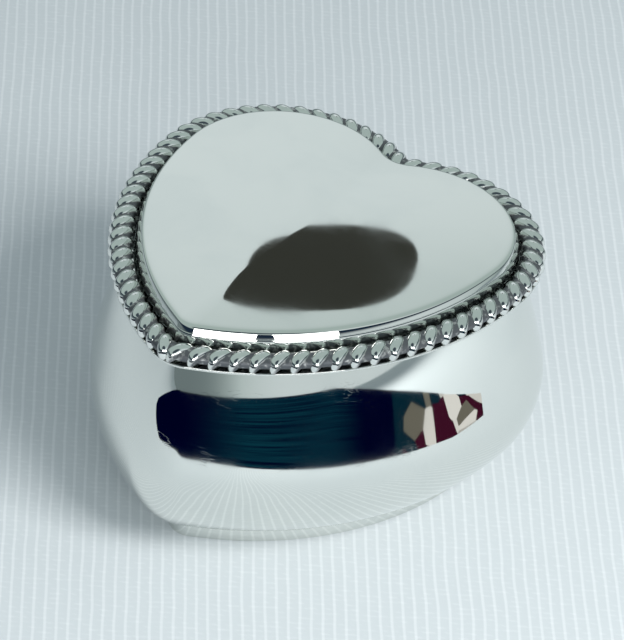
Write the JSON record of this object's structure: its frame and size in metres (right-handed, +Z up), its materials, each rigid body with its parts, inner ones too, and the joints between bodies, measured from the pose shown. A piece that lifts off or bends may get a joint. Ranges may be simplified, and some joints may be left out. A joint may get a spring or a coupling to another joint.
{
  "type": "heart-shaped trinket box",
  "caption": "Polished silver-plated heart-shaped trinket box with rounded bombe sides, a rope-bordered lid hinged in the cleft and a dark velvet lining.",
  "frame": {"origin": "on the surface the box stands on, below the middle of its bounding box", "axes": "+Z up, -Y towards the tip of the heart, +Y towards the cleft and the hinge, X across the two lobes"},
  "size_m": [0.089, 0.0912, 0.0536],
  "materials": {
    "silver_plate": "polished silver plate with fine handling scratches",
    "pin_steel": "drawn wire",
    "velvet": "short pile velvet on card and wadding",
    "felt": "pressed felt"
  },
  "bodies": {
    "box": {"foot_rim": "silver_plate", "base_plate": "silver_plate", "base_felt": "felt", "body_wall": "silver_plate", "rim_bezel": "silver_plate", "lining_wall": "velvet", "floor_pad": "velvet", "hinge_leaf_body": "silver_plate", "hinge_pin": "pin_steel"},
    "lid": {"hinge_leaf_lid": "silver_plate", "lid_frame": "silver_plate", "lid_panel": "silver_plate", "rope_border": "silver_plate", "lid_lining": "velvet"}
  },
  "joints": [
    {"name": "lid_hinge", "type": "hinge", "parent": "box", "child": "lid", "pos_m": [0, 0.0396, 0.0448], "axis": [-1, 0, 0], "range_deg": [0, 100]}
  ]
}
